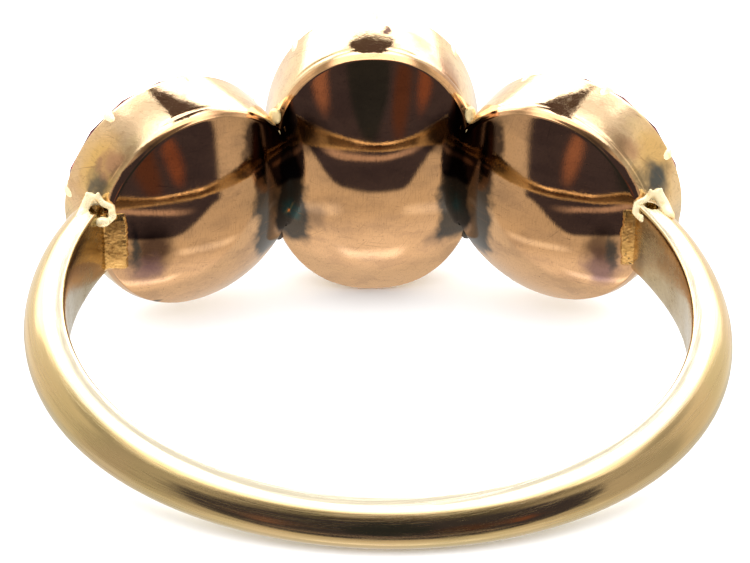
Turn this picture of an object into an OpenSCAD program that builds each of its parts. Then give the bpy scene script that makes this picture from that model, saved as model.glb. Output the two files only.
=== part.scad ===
/* [Band] */
// Inner radius of the band, half of the finger hole's width
band_r = 8.75; // [8:0.05:10]
// Thickness of the band at the middle of its back
back_t = 1.2; // [1:0.05:1.6]
// Thickness of the band where it meets the collets
shoulder_t = 1.32; // [1:0.05:1.6]
// Width of the band, along the finger, at the middle of its back
back_w = 1.4; // [1.2:0.05:2]
// Width of the band, along the finger, at the shoulders
shoulder_w = 2.4; // [2:0.05:3]
// Angle from the middle of the back round to each end of the band
band_reach = 119; // [114:1:121]
// How far the old band is pressed out of round, to one side of its back
band_skew = 0.19; // [0:0.01:0.3]
// How far the back of the band is pressed flat
band_flat = 0.11; // [0:0.01:0.2]

/* [Centre collet] */
// Half of the centre collet's width, across the finger
centre_a = 3.15; // [3:0.05:3.4]
// Half of the centre collet's height, along the finger
centre_b = 4.23; // [4:0.05:4.5]
// Distance from the finger's axis to the centre back plate
centre_y = 7.29; // [7.2:0.05:7.5]
// Depth of the centre collet, back plate to rim
centre_d = 2.28; // [2:0.05:3]
// How far the centre back plate is domed
centre_dome = 1.25; // [0.6:0.05:1.5]
// Squareness of the centre outline, 2 for an ellipse
centre_n = 2.25; // [2:0.05:2.5]

/* [Side collets] */
// Half of a side collet's width
side_a = 3.35; // [3.2:0.05:3.5]
// Half of a side collet's height, along the finger
side_b = 3.23; // [3:0.05:3.5]
// Distance from the middle of the ring to a side back plate's middle, across the finger
side_x = 5.1; // [5:0.05:5.3]
// Distance from the finger's axis to a side back plate's middle
side_y = 5.58; // [5.4:0.05:5.8]
// Depth of a side collet, back plate to rim
side_d = 2.15; // [2:0.05:2.6]
// How far a side back plate is domed
side_dome = 1.1; // [0.6:0.05:1.4]
// Angle that a side collet is turned round the finger
side_turn = 31; // [28:1:34]

/* [Collet walls] */
// How far the rim stands out past the back plate
flare = 0.13; // [0.05:0.01:0.25]
// Thickness of the wall round the stone
wall = 0.38; // [0.3:0.01:0.5]
// Thickness of the back plate's edge, down to its solder seam
plate_t = 0.16; // [0.1:0.01:0.3]
// Depth of the solder seam between the back plate and the wall
seam = 0.03; // [0:0.01:0.06]
// Claws round each collet
claw_count = 8; // [8:2:12]
// Half of a claw's width
claw_r = 0.24; // [0.2:0.01:0.3]
// How far a claw stands out from the wall
claw_proud = 0.1; // [0.06:0.01:0.15]

/* [Stones] */
// Gap left round each stone
stone_gap = 0.05; // [0.04:0.01:0.08]
// Height of a stone's crown above its girdle
crown_h = 0.85; // [0.6:0.05:1.1]
// Height of a stone's pavilion below its girdle
pavilion_h = 1.1; // [0.7:0.05:1.3]
// Width of the table as a share of the stone's width
table_share = 0.58; // [0.5:0.01:0.65]

/* [Hidden] */

rose_gold = [0.80, 0.58, 0.42];
yellow_gold = [0.84, 0.72, 0.45];
solder_gold = [0.72, 0.60, 0.32];
garnet_red = [0.36, 0.03, 0.06];

// Steps round an outline, and degrees between two sections of the band
outline_steps = 32;
band_step = 4.5;
// A stone's girdle: its thickness, its height above the rim, and how far its room stays inside the rim
girdle_t = 0.12;
girdle_lift = 0.08;
girdle_in = 0.03;
girdle_grow = flare - girdle_in;
// How much smaller than its room a stone is, all round, so that it hides behind the rim
girdle_slack = 0.1;
// Shares of a stone's width at its culet and at its kites' side corners, and the main facets round it
culet_share = 0.14;
kite = 0.8;
MAIN = 8;
// Metal left between the hollow's floor and the back plate's edge, and how far in the floor ends
floor_t = 0.42;
floor_in = 0.9;
// Depth at which the hollow reaches its full width, and height of the sloping seat inside the rim
hollow_full = 1.35;
seat_h = 0.22;
// Where the rounded edge of a back plate reaches its full size
edge_y = 0.04;
// Shares of the band's section: its flat edge, its dome, and the angle that touches the table
band_edge = 0.2;
band_dome = 0.8;
touch = 75;
// Angle of the first claw round each collet, because they were set by eye
left_first = 78;
centre_first = 88;
right_first = 76;
// Where the middle of a claw's tip ends, measured out from the wall
claw_turn_in = -0.36;
// The lap of gold and solder from the end of the band over a side back plate
pad_len = 0.64;
pad_w = 2;
pad_t = 0.12;
// The small hollow left in the fork at the upper corner of each end of the band
fork_r = 0.2;
fork_out = 0.1;
fork_depth = 0.9;
// Solder in the crease between two collets: a line, and a larger lump at each end of it
solder_x = 2.8;
solder_in = 0.28;
solder_reach = 1.9;
solder_r = 0.2;
lump_x = 2.94;
lump_out = 0.12;
lump_reach = 2.15;
lump_r = 0.33;

// A collet is one row of sizes, with these columns
A = 0; // half width
B = 1; // half height
DEPTH = 2; // back plate to rim
DOME = 3; // rise of the back plate
SQUARE = 4; // squareness of the outline
FIRST = 5; // angle of the first claw
X = 6; // middle of the back plate across the finger
Y = 7; // middle of the back plate away from the finger
TURN = 8; // turn round the finger
centre_row = [centre_a, centre_b, centre_d, centre_dome, centre_n, centre_first, 0, centre_y, 0];
function side_row(side) = [side_a, side_b, side_d, side_dome, 2, side < 0 ? left_first : right_first,
  side * side_x, side_y, -side * side_turn];
collets = [side_row(-1), centre_row, side_row(1)];
STONE_LEFT = 0;
STONE_CENTRE = 1;
STONE_RIGHT = 2;

// The ring lies on the lower edges of its band's back and its centre collet's back plate
head_out = centre_y + edge_y;
back_out = band_r - band_flat + back_t * (band_edge + band_dome * cos(touch));
back_down = back_w / 2 * sin(touch);
rest_tilt = atan((centre_b - back_down) / (head_out + back_out));
rest_lift = centre_b * cos(rest_tilt) - head_out * sin(rest_tilt);

// It lies with the middle of its length over the origin, from the back of the band to the centre table
back_reach = (band_r - band_flat + back_t) * cos(rest_tilt);
table_out = centre_y + centre_d + stone_gap + girdle_t + crown_h;
table_down = (centre_b + girdle_grow) * table_share * cos(180 / MAIN);
front_reach = table_out * cos(rest_tilt) + table_down * sin(rest_tilt);
rest_shift = (back_reach - front_reach) / 2;

function power(value, exponent) = sign(value) * pow(abs(value), exponent);

// A point of an oval outline at one angle
function outline_point(a, b, n, angle) = [a * power(cos(angle), 2 / n), b * power(sin(angle), 2 / n)];

// A closed form through rows of [depth, half width, half height], with a point in the middle of each end
module loft(rows, n) {
  count = len(rows);
  steps = outline_steps;
  points = concat(
    [[0, rows[0][0], 0]],
    [for (row = rows, i = [0:steps - 1])
      let (p = outline_point(row[1], row[2], n, i * 360 / steps)) [p[0], row[0], p[1]]],
    [[0, rows[count - 1][0], 0]]
  );
  last = len(points) - 1;
  faces = concat(
    [for (i = [0:steps - 1]) [0, 1 + (i + 1) % steps, 1 + i]],
    [for (k = [0:count - 2], i = [0:steps - 1], half = [0, 1])
      let (j = (i + 1) % steps, low = 1 + k * steps, high = low + steps)
        half == 0 ? [low + i, low + j, high + j] : [low + i, high + j, high + i]],
    [for (i = [0:steps - 1]) let (top = last - steps) [last, top + i, top + (i + 1) % steps]]
  );
  polyhedron(points = points, faces = faces);
}

// How far a domed back stands out at a share of the way from its middle to its edge
function dome_rise(dome, share) = dome * (1 - share * share);

// The skin of a collet, from the middle of its domed back out to its rim, then down inside to its floor
function collet_rows(c) = concat(
  [for (share = [0.12, 0.3, 0.5, 0.7, 0.85, 0.95])
    [-dome_rise(c[DOME], share), c[A] * share, c[B] * share]],
  [for (step = [
      [-edge_y, -0.05],
      [edge_y, 0],
      [plate_t, 0],
      [plate_t + 0.05, -seam],
      [plate_t + 0.11, 0],
      [c[DEPTH] - 0.06, flare],
      [c[DEPTH], flare - 0.07],
      [c[DEPTH] - seat_h, flare - wall],
      [hollow_full, flare - wall],
      [floor_t, flare - wall - floor_in]
    ]) [step[0], c[A] + step[1], c[B] + step[1]]]
);

function girdle_low(c) = c[DEPTH] + girdle_lift;
function girdle_top(c) = girdle_low(c) + girdle_t;

// Distance from the girdle of a kite's side corners, so that the kite is flat
function kite_h(h, share) = h * (1 - kite * cos(180 / MAIN)) / (1 - share);

// The room of a stone and the gap round it, which cuts its seat in the rim and the claws' undersides
function stone_room_rows(c) =
  let (low = girdle_low(c) - 1.2 * stone_gap, top = girdle_top(c) + stone_gap)
    [for (step = [
        [low - pavilion_h, culet_share],
        [low - kite_h(pavilion_h, culet_share), kite],
        [low, 1],
        [top, 1],
        [top + kite_h(crown_h, table_share), kite],
        [top + crown_h, table_share],
        [top + crown_h + 0.3, table_share]
      ])
      [step[0], (c[A] + girdle_grow) * step[1] + stone_gap, (c[B] + girdle_grow) * step[1] + stone_gap]];

// Puts what belongs to a collet in its place, with its back plate towards the finger
module place(c) {
  translate([c[X], c[Y], 0]) rotate([0, 0, c[TURN]]) children();
}

module collet(c) {
  color(rose_gold) place(c) loft(collet_rows(c), c[SQUARE]);
}

// A claw filed down nearly flush: a ridge up the wall that turns in over the stone's edge
module claw(c, angle) {
  foot = outline_point(c[A] + flare, c[B] + flare, c[SQUARE], angle);
  outward = atan2(foot[1] / pow(c[B], 2), foot[0] / pow(c[A], 2));
  // Rows of [height above the rim, how far the middle stands out from the wall, radius]
  steps = [
    [-0.75, -claw_r, 0.8 * claw_r],
    [0.12, claw_proud - claw_r, claw_r],
    [0.42, claw_turn_in, 0.75 * claw_r]
  ];
  color(rose_gold) hull()
    for (s = steps)
      translate([foot[0] + s[1] * cos(outward), c[DEPTH] + s[0], foot[1] + s[1] * sin(outward)])
        sphere(r = s[2], $fn = 8);
}

module claws(c) {
  place(c)
    for (i = [0:claw_count - 1])
      claw(c, c[FIRST] + i * 360 / claw_count);
}

// Share of the way from the back's sizes to the shoulders' at an angle from the middle of the back
function shoulder_share(angle) = min(1, (1 - cos(angle)) / 1.3);
function band_width(angle) = back_w + (shoulder_w - back_w) * shoulder_share(angle);
function band_thick(angle) = back_t + (shoulder_t - back_t) * shoulder_share(angle);

// Inner radius of the old band, a little out of round
function band_radius(angle) = band_r + band_skew * sin(2 * angle) - band_flat * cos(3 * angle);

// D-shaped section of the band as [distance out from the finger, distance along the finger]
function band_section(t, w) = concat(
  [for (a = [-90:15:90]) [t * (band_edge + band_dome * cos(a)), w / 2 * sin(a)]],
  [[0.07 * t, 0.47 * w], [0, 0.42 * w], [0, 0], [0, -0.42 * w], [0.07 * t, -0.47 * w]]
);

module band() {
  count = floor(2 * band_reach / band_step);
  angles = [for (k = [0:count]) -band_reach + 2 * band_reach * k / count];
  size = len(band_section(1, 1));
  points = [for (angle = angles, p = band_section(band_thick(angle), band_width(angle)))
    let (r = band_radius(angle) + p[0]) [r * sin(angle), -r * cos(angle), p[1]]];
  faces = concat(
    [[for (i = [size - 1:-1:0]) i]],
    [for (k = [0:count - 1], i = [0:size - 1], half = [0, 1])
      let (j = (i + 1) % size, low = k * size, high = low + size)
        half == 0 ? [low + i, low + j, high + j] : [low + i, high + j, high + i]],
    [[for (i = [0:size - 1]) count * size + i]]
  );
  color(yellow_gold) polyhedron(points = points, faces = faces);
}

// A thin lap of gold over the outer end of a side collet's domed back, as a slab of rows and columns
module pad(side) {
  c = side_row(side);
  n = 5;
  function skin(x, z, lift) =
    [side * x, -dome_rise(c[DOME], min(1, norm([x / c[A], z / c[B]]))) - lift, z];
  points = [for (lift = [-0.2, pad_t], i = [0:n], j = [0:n])
    skin(c[A] - pad_len + pad_len * i / n, pad_w * (j / n - 0.5), lift)];
  row = n + 1;
  sheet = row * row;
  rim = concat(
    [for (j = [0:n - 1]) j],
    [for (i = [0:n - 1]) i * row + n],
    [for (j = [n:-1:1]) n * row + j],
    [for (i = [n:-1:1]) i * row]
  );
  faces = concat(
    [for (i = [0:n - 1], j = [0:n - 1], half = [0, 1])
      let (p = i * row + j)
        half == 0 ? [p, p + row + 1, p + 1] : [p, p + row, p + row + 1]],
    [for (i = [0:n - 1], j = [0:n - 1], half = [0, 1])
      let (p = sheet + i * row + j)
        half == 0 ? [p, p + 1, p + row + 1] : [p, p + row + 1, p + row]],
    [for (k = [0:len(rim) - 1], half = [0, 1])
      let (p = rim[k], q = rim[(k + 1) % len(rim)])
        half == 0 ? [p, q, q + sheet] : [p, q + sheet, p + sheet]]
  );
  flip = [for (f = faces) [f[2], f[1], f[0]]];
  color(solder_gold) place(c) polyhedron(points = points, faces = side > 0 ? faces : flip);
}

// The hollow where the upper corner of the band's end doesn't quite close on a collet
module fork_hollow(side) {
  c = side_row(side);
  place(c) translate([side * (c[A] + fork_out), fork_out, shoulder_w / 2])
    cylinder(r = fork_r, h = fork_depth, center = true);
}

// Solder run into the crease between the centre collet and a side one
module solder(side) {
  color(solder_gold)
    for (end = [-1, 1]) {
      translate([side * lump_x, centre_y + lump_out, end * lump_reach]) sphere(r = lump_r, $fn = 12);
      hull()
        for (z = [0, end * solder_reach])
          translate([side * solder_x, centre_y - solder_in, z]) sphere(r = solder_r, $fn = 12);
    }
}

// A cut stone as rings of points and the facets between them, from its table down to its culet
module gem(c) {
  a = c[A] + girdle_grow - girdle_slack;
  b = c[B] + girdle_grow - girdle_slack;
  turn = 180 / MAIN;
  function ring(count, first, share, depth) = [for (i = [0:count - 1])
    let (p = outline_point(a * share, b * share, c[SQUARE], first + i * 360 / count)) [p[0], depth, p[1]]];
  top = girdle_top(c);
  low = girdle_low(c);
  points = concat(
    ring(MAIN, turn, table_share, top + crown_h),
    ring(MAIN, 0, kite, top + kite_h(crown_h, table_share)),
    ring(2 * MAIN, 0, 1, top),
    ring(2 * MAIN, 0, 1, low),
    ring(MAIN, 0, kite, low - kite_h(pavilion_h, culet_share)),
    ring(MAIN, turn, culet_share, low - pavilion_h)
  );
  // First point of each ring
  table = 0;
  crown = MAIN;
  girdle = 2 * MAIN;
  under = 4 * MAIN;
  pavilion = 6 * MAIN;
  culet = 7 * MAIN;
  function flat(first, mid, edge) = [for (i = [0:MAIN - 1])
    let (
      j = (i + 1) % MAIN,
      before = (i + MAIN - 1) % MAIN,
      tip = edge + 2 * i + 1,
      tip_before = edge + 2 * before + 1
    )
      each [
        [first + before, mid + i, first + i],
        [first + i, mid + i, tip],
        [first + i, tip, mid + j],
        [mid + i, tip_before, edge + 2 * i],
        [mid + i, edge + 2 * i, tip]
      ]];
  function turned(list) = [for (f = list) [for (k = [len(f) - 1:-1:0]) f[k]]];
  faces = concat(
    [[for (i = [0:MAIN - 1]) table + i]],
    flat(table, crown, girdle),
    [for (i = [0:2 * MAIN - 1])
      let (j = (i + 1) % (2 * MAIN))
        each [[girdle + i, under + i, under + j], [girdle + i, under + j, girdle + j]]],
    turned(flat(culet, pavilion, under)),
    [[for (i = [MAIN - 1:-1:0]) culet + i]]
  );
  color(garnet_red) place(c) polyhedron(points = points, faces = faces);
}

// Turns the upright design over to the way that the ring lies on a table
module rest() {
  translate([0, rest_shift, rest_lift]) rotate([rest_tilt, 0, 0]) children();
}

module ring_mount() {
  rest() difference() {
    union() {
      band();
      for (c = collets) {
        collet(c);
        claws(c);
      }
      for (side = [-1, 1]) {
        pad(side);
        solder(side);
      }
    }
    for (side = [-1, 1])
      fork_hollow(side);
    for (c = collets)
      place(c) loft(stone_room_rows(c), c[SQUARE]);
  }
}

module stone(which) {
  rest() gem(collets[which]);
}

ring_mount();
stone(STONE_LEFT);  // stone_left
stone(STONE_CENTRE);  // stone_centre
stone(STONE_RIGHT);  // stone_right
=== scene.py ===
# An old three-stone ring that lies on its side, seen from the backs of its closed collets
import math

import bmesh
import bpy
from bpy.props import FloatProperty, FloatVectorProperty, IntProperty, PointerProperty
from mathutils import Matrix, Vector, noise


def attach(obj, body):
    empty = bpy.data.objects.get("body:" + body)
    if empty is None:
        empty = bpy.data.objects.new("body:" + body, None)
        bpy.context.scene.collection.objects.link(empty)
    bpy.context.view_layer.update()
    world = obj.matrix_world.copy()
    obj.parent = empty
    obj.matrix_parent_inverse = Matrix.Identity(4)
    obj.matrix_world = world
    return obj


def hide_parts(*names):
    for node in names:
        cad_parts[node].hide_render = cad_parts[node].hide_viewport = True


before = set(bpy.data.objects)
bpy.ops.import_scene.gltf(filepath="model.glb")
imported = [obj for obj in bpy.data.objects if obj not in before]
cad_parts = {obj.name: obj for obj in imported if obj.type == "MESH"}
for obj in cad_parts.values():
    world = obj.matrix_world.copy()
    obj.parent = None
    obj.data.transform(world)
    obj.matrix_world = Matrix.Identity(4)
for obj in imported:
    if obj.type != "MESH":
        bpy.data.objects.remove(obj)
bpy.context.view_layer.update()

bl_info = {
    "name": "Three-stone ring",
    "version": (1, 0, 0),
    "blender": (4, 5, 0),
    "location": "3D View > Sidebar > Ring",
    "description": "Closed-back three-stone ring with its metals, stones and studio",
    "category": "Object",
}

BODY = "root"
MOUNT = "ring_mount"
STONES = ("stone_left", "stone_centre", "stone_right")
SIDES = {"left": -1, "right": 1}
MM = 0.001

# Photograph's frame and the camera that was fitted to the ring's edges in it, in the ring's upright frame
PHOTO_WIDTH = 750
FOCAL_PIXELS = 3659.4
SENSOR_WIDTH = 36.0
CAMERA_PLACE = Vector((-1.544, -83.861, 61.852))
CAMERA_FORWARD = Vector((0.01442, 0.81085, -0.58508))
CAMERA_RIGHT = Vector((0.99987, -0.01620, 0.00220))
FLOOR_REACH = 2.0

# Back plate of a collet, in mm: its thickness, and how its edge is bevelled and rounded
PLATE_EDGE = 0.04
PLATE_THICKNESS = 0.16
EDGE_IN = 0.08
EDGE_ROUND = 0.05
BEVEL_BULGE = 0.02

# Solder seam round the plate: its place down the wall, and its section as (distance along, share of depth)
SEAM_DEPTH = 0.36
SEAM_SECTION = ((-0.035, 0), (-0.015, 1), (0.01, 1), (0.03, 0))
SEAM_WAVE = 0.8

# Wall, rim, seat and hollow of a collet
WALL_BULGE = 3.4
RIM_ROUND = 0.07
SEAT_HEIGHT = 0.22
FLOOR_THICKNESS = 0.42
FLOOR_INSET = 0.9
HOLLOW_FULL = 1.35

# Steps of a collet's skin, and the gentle waves of handwork over it
DOME_STEPS = 40
EDGE_STEPS = 8
WALL_STEPS = 18
RIM_STEPS = 6
ROUND_STEPS = 224
HAND_SIZE = 0.9
HAND_REACH = 0.006

# A stone: its girdle, gap, table and crown, and where the centre stone ends across the ring
GIRDLE = 0.12
# How far past the rim the girdle's painted shade reaches
GIRDLE_SHOWN = 0.24
STONE_GAP = 0.05
GIRDLE_IN = 0.03
TABLE_SHARE = 0.58
CROWN = 0.85
CENTRE_ENDS = (3.2, 3.3)

# A claw: its length, where it starts, and how it tapers, sinks in at its foot and turns in at its tip
CLAW_LENGTH = 1.25
CLAW_START = -0.78
CLAW_TAPER = -0.3
CLAW_SINK = 0.5
CLAW_TURN_IN = 1.5

# Hollow in the fork at each end of the band
FORK_RADIUS = 0.2
FORK_OUT = 0.1
FORK_UP = 1.2
FORK_DEPTH = 0.9
FORK_RAGGED = 0.35

# Lap of solder on the outer end of a side back, and how far it reaches in under the plate's face
LAP_LENGTH = 0.64
LAP_WIDTH = 2.0
LAP_THICKNESS = 0.12
LAP_ROOT = -0.12
LAP_STEPS = (40, 80)

# Section of the band as shares of its thickness, and what its flat facets add to the CAD's box
BAND_FLAT_EDGE = 0.2
BAND_DOME = 0.8
BAND_WIDENS = 1.3
FACET_SLACK = 0.011
TOUCH_ANGLE = math.radians(75)

# Solder in the creases between the collets: distance across, distance out, place along and the three reaches
CREASE_BEADS = (
    (2.80, 7.01, 0.0, 0.17, 0.2, 1.9),
    (2.90, 7.36, 2.12, 0.19, 0.2, 0.28),
    (2.88, 7.38, -2.08, 0.22, 0.22, 0.3),
)

# Lines of solder that stand up round the fork at a shoulder: each is a row of points and a radius
SHOULDER_LIPS = (
    (((8.05, 4.13, 1.46), (7.92, 4.02, 1.32), (7.64, 3.96, 1.22), (7.6, 3.8, 1.03), (7.8, 3.66, 0.88)), 0.1),
    (((8.28, 4.16, 1.44), (8.46, 3.95, 1.18), (8.6, 3.6, 1.0)), 0.16),
    (((8.33, 4.15, 1.46), (8.2, 4.2, 1.4), (8.06, 4.13, 1.46)), 0.09),
)

# Solder that fills in between the lips and the top of the band, with the columns of the creases' solder
SHOULDER_BEADS = (
    (8.2, 4.2, 1.33, 0.22, 0.13, 0.15),
    (8.36, 4.14, 1.55, 0.07, 0.07, 0.1),
    (8.05, 4.12, 1.55, 0.07, 0.07, 0.1),
    (7.92, 3.6, 0.96, 0.24, 0.16, 0.16),
    (7.66, 3.86, 1.08, 0.12, 0.12, 0.16),
)

# Tints of dirt, tarnish and heat stains, and of painted reflections and painted shade
BLUE_BLACK = (0.050, 0.056, 0.056)
BROWN_BLACK = (0.060, 0.036, 0.026)
SLATE = (0.10, 0.105, 0.10)
TEAL = (0.06, 0.13, 0.13)
VIOLET = (0.20, 0.11, 0.12)
BROWN = (0.30, 0.19, 0.12)
UMBER = (0.09, 0.045, 0.03)
ORANGE = (0.75, 0.36, 0.12)
GOLDEN = (0.84, 0.55, 0.20)
TAN = (0.52, 0.30, 0.17)
# Painted shade along the middle of the inside of the band's back
INSIDE_SHADE_TINT = (0.10, 0.06, 0.035)
PIT = (0.12, 0.08, 0.04)
# Dark of the creases' solder: partly tarnish, partly painted shade
CREASE_TARNISH_AND_SHADE = (0.09, 0.08, 0.07)
GIRDLE_PAINTED_SHADE = (0.03, 0.014, 0.024)

# Heat stains, and on the walls painted reflections and a claw's painted shadow: tint, place in the upright
# frame, reach and strength
PLATE_STAINS = (
    (BROWN, (-1.75, 6.6, -0.9), (0.55, 1.5, 0.75), 0.75),
    (BROWN, (1.95, 6.7, -1.9), (0.5, 1.5, 0.55), 0.7),
    (UMBER, (-6.6, 4.1, -0.3), (1.0, 1.3, 1.3), 0.95),
    (VIOLET, (-6.7, 3.9, -1.1), (0.75, 0.9, 0.8), 0.7),
    (BLUE_BLACK, (-7.05, 3.9, -0.2), (0.2, 0.8, 1.2), 0.85),
    (VIOLET, (6.7, 4.0, -1.1), (0.75, 0.9, 1.2), 0.8),
    (UMBER, (6.7, 4.0, -0.25), (0.75, 1.0, 1.0), 0.8),
    (BLUE_BLACK, (7.02, 3.9, -0.5), (0.2, 0.8, 1.1), 0.8),
    (BLUE_BLACK, (-6.5, 4.6, -2.72), (0.33, 0.8, 0.14), 0.8),
    (UMBER, (-2.0, 6.8, 1.9), (0.85, 1.2, 0.9), 0.9),
    (UMBER, (2.1, 6.8, 1.9), (0.85, 1.2, 0.9), 0.9),
)
CREASE_STAINS = (
    (SLATE, (-2.45, 7.0, 0.5), (0.22, 1.2, 1.2), 0.6),
    (TEAL, (-2.5, 7.0, -0.8), (0.4, 1.0, 0.6), 0.85),
    (TEAL, (2.55, 7.0, -0.7), (0.36, 1.0, 0.7), 0.6),
    (ORANGE, (-2.62, 7.0, -0.9), (0.13, 1.0, 0.2), 1.0),
)
# Painted reflections on the walls: golden, tan and slate patches where the walls mirror their surroundings,
# and a claw's painted shadow (the umber one) at the top of the centre wall
WALL_PAINTED_REFLECTIONS_AND_SHADOW = (
    (GOLDEN, (-8.1, 4.9, 1.9), (1.3, 1.6, 1.7), 0.9),
    (GOLDEN, (8.3, 5.2, 1.9), (1.1, 1.6, 1.7), 0.8),
    (TAN, (-7.45, 4.75, 2.3), (0.7, 0.6, 0.8), 1.0),
    (TAN, (7.3, 4.9, 2.5), (0.9, 0.6, 0.7), 0.8),
    (TAN, (2.2, 7.8, 3.35), (1.1, 1.0, 1.0), 1.0),
    (TAN, (1.5, 8.5, 3.95), (0.6, 0.8, 0.6), 1.0),
    (UMBER, (0.42, 8.62, 4.3), (0.24, 0.1, 0.4), 1.0),
    (TAN, (-8.0, 4.8, 1.85), (0.4, 0.5, 0.4), 0.9),
    (SLATE, (-8.25, 4.6, 1.5), (0.75, 0.8, 0.55), 0.85),
    (SLATE, (8.4, 4.8, 1.5), (0.9, 1.1, 0.85), 1.0),
)

# What the metal mirrors of its surroundings
NEAR_SIDE = (0.64, 0.58, 0.50)
FAR_SIDE = (0.50, 0.47, 0.41)
LOW_SIDE = (0.92, 0.84, 0.72)
BACK_SIDE = (1.2, 1.15, 1.08)
TABLE_NEAR = (1.05, 1.0, 0.95)
TABLE_EDGE = (0.74, 0.67, 0.57)
TABLE_BACK = (1.3, 1.28, 1.25)
TABLE_UNDER = (0.82, 0.80, 0.76)
NEAR_ARC = (1.9, 1.9, 2.0)
SIDE_ARC = (1.5, 1.5, 1.5)
WHITE_FIELD = (3.6, 3.5, 3.5)
OVERHEAD = ((0.07, 0.06, 0.055), (0.24, 0.21, 0.18), (2.6, 2.5, 2.4), (3.4, 3.3, 3.3))
DARK_ROOM = (0.060, 0.053, 0.074)
ROOM_LEDGE = (0.56, 0.44, 0.40)
FAR_CARD = (0.11, 0.075, 0.065)

# Fields in the dark room: tint, azimuth, elevation, two reaches in degrees, softness
ROOM_PATCHES = (
    ((0.11, 0.050, 0.036), 20, 12, 6, 16, 0.4),
    ((0.028, 0.034, 0.042), -2, 30, 13, 36, 0.12),
    ((0.24, 0.095, 0.06), 35, 12, 4, 10, 0.45),
    ((0.34, 0.17, 0.12), -34, 13, 4.5, 11, 0.5),
)


def angle_setting(default, **given):
    """An angle in degrees that a user can change."""
    return FloatProperty(default=math.radians(default), subtype="ANGLE", **given)


def colour_setting(**given):
    """A colour that a user can change."""
    return FloatVectorProperty(subtype="COLOR", size=3, **given)


class BandSizes(bpy.types.PropertyGroup):
    """Sizes of the band, in mm."""

    inner_radius: FloatProperty(name="Inner radius", description="Half of the finger hole", default=8.75)
    back_thickness: FloatProperty(name="Back thickness", description="At the middle of the back", default=1.2)
    shoulder_thickness: FloatProperty(name="Shoulder thickness", description="At the collets", default=1.32)
    back_width: FloatProperty(name="Back width", description="Along the finger at the back", default=1.4)
    shoulder_width: FloatProperty(name="Shoulder width", description="Along it at the collets", default=2.4)
    reach: angle_setting(119, name="Reach", description="From the middle of the back round to each end")
    skew: FloatProperty(name="Skew", description="How far it is pressed to one side", default=0.19)
    flat: FloatProperty(name="Flat", description="How far its back is pressed flat", default=0.11)


class ColletSizes(bpy.types.PropertyGroup):
    """Sizes of one collet, in mm."""

    half_width: FloatProperty(name="Half width", description="Across the finger", default=3.35)
    half_height: FloatProperty(name="Half height", description="Along the finger", default=3.23)
    depth: FloatProperty(name="Depth", description="Back plate to rim", default=2.15)
    dome: FloatProperty(name="Dome", description="Rise of the back plate", default=1.1)
    squareness: FloatProperty(name="Squareness", description="2 for an ellipse", default=2.0)
    sag: FloatProperty(name="Sag", description="How far the dome's crest lies below its middle", default=0.28)
    first_claw: angle_setting(78, name="First claw", description="Angle of the first claw")
    across: FloatProperty(name="Across", description="Middle of the plate across the finger", default=0.0)
    out: FloatProperty(name="Out", description="Middle of the plate away from the finger", default=5.58)
    turn: angle_setting(0, name="Turn", description="Turn round the finger")


class WallSizes(bpy.types.PropertyGroup):
    """Sizes that the three collets share, in mm."""

    flare: FloatProperty(name="Flare", description="How far the rim stands out past the plate", default=0.13)
    wall: FloatProperty(name="Wall", description="Thickness of the wall round the stone", default=0.38)
    seam: FloatProperty(name="Seam", description="Depth of the solder seam round the plate", default=0.014)
    claws: IntProperty(name="Claws", description="Claws round each collet", default=8)
    claw_radius: FloatProperty(name="Claw radius", description="Half of a claw's width", default=0.24)
    claw_proud: FloatProperty(name="Claw proud", description="How far a claw stands out", default=0.1)


class MetalColours(bpy.types.PropertyGroup):
    """Colours of the metals and of what has dulled them."""

    rose: colour_setting(name="Rose gold", description="Back plates", default=(0.78, 0.46, 0.23))
    yellow: colour_setting(name="Yellow gold", description="Band", default=(0.63, 0.485, 0.24))
    pale: colour_setting(name="Pale gold", description="Collet walls", default=(0.90, 0.67, 0.38))
    solder: colour_setting(name="Solder", description="Laps and runs of solder", default=(0.98, 0.58, 0.20))
    soot: colour_setting(name="Soot", description="Dark dirt in hollows", default=(0.035, 0.026, 0.018))


class StoneColours(bpy.types.PropertyGroup):
    """Colour of the stones."""

    garnet: colour_setting(name="Garnet", description="Stone body", default=(0.30, 0.007, 0.014))


class StudioSettings(bpy.types.PropertyGroup):
    """Floor and light."""

    floor: colour_setting(name="Floor", description="Pale table", default=(0.96, 0.96, 0.96))
    light: FloatProperty(name="Light", description="Soft light from all round", default=2.5)
    gloss: FloatProperty(name="Gloss", description="Brightness that the metal mirrors", default=1.0)


class RingSettings(bpy.types.PropertyGroup):
    """Everything that can be changed on the ring."""

    band: PointerProperty(type=BandSizes)
    left: PointerProperty(type=ColletSizes)
    centre: PointerProperty(type=ColletSizes)
    right: PointerProperty(type=ColletSizes)
    walls: PointerProperty(type=WallSizes)
    metals: PointerProperty(type=MetalColours)
    stones: PointerProperty(type=StoneColours)
    studio: PointerProperty(type=StudioSettings)


def settings():
    return bpy.context.scene.three_stone_ring


def collets():
    ring = settings()
    return {"left": ring.left, "centre": ring.centre, "right": ring.right}


def set_collet_sizes():
    """Give the three collets their own sizes where they differ from a side collet's defaults."""
    ring = settings()
    ring.centre.half_width = 3.15
    ring.centre.half_height = 4.23
    ring.centre.depth = 2.28
    ring.centre.dome = 1.25
    ring.centre.squareness = 2.25
    ring.centre.sag = 0.0
    ring.centre.first_claw = math.radians(88)
    ring.centre.out = 7.29
    for name, side in SIDES.items():
        collets()[name].across = side * 5.1
        collets()[name].turn = -side * math.radians(31)
    ring.right.first_claw = math.radians(76)


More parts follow.
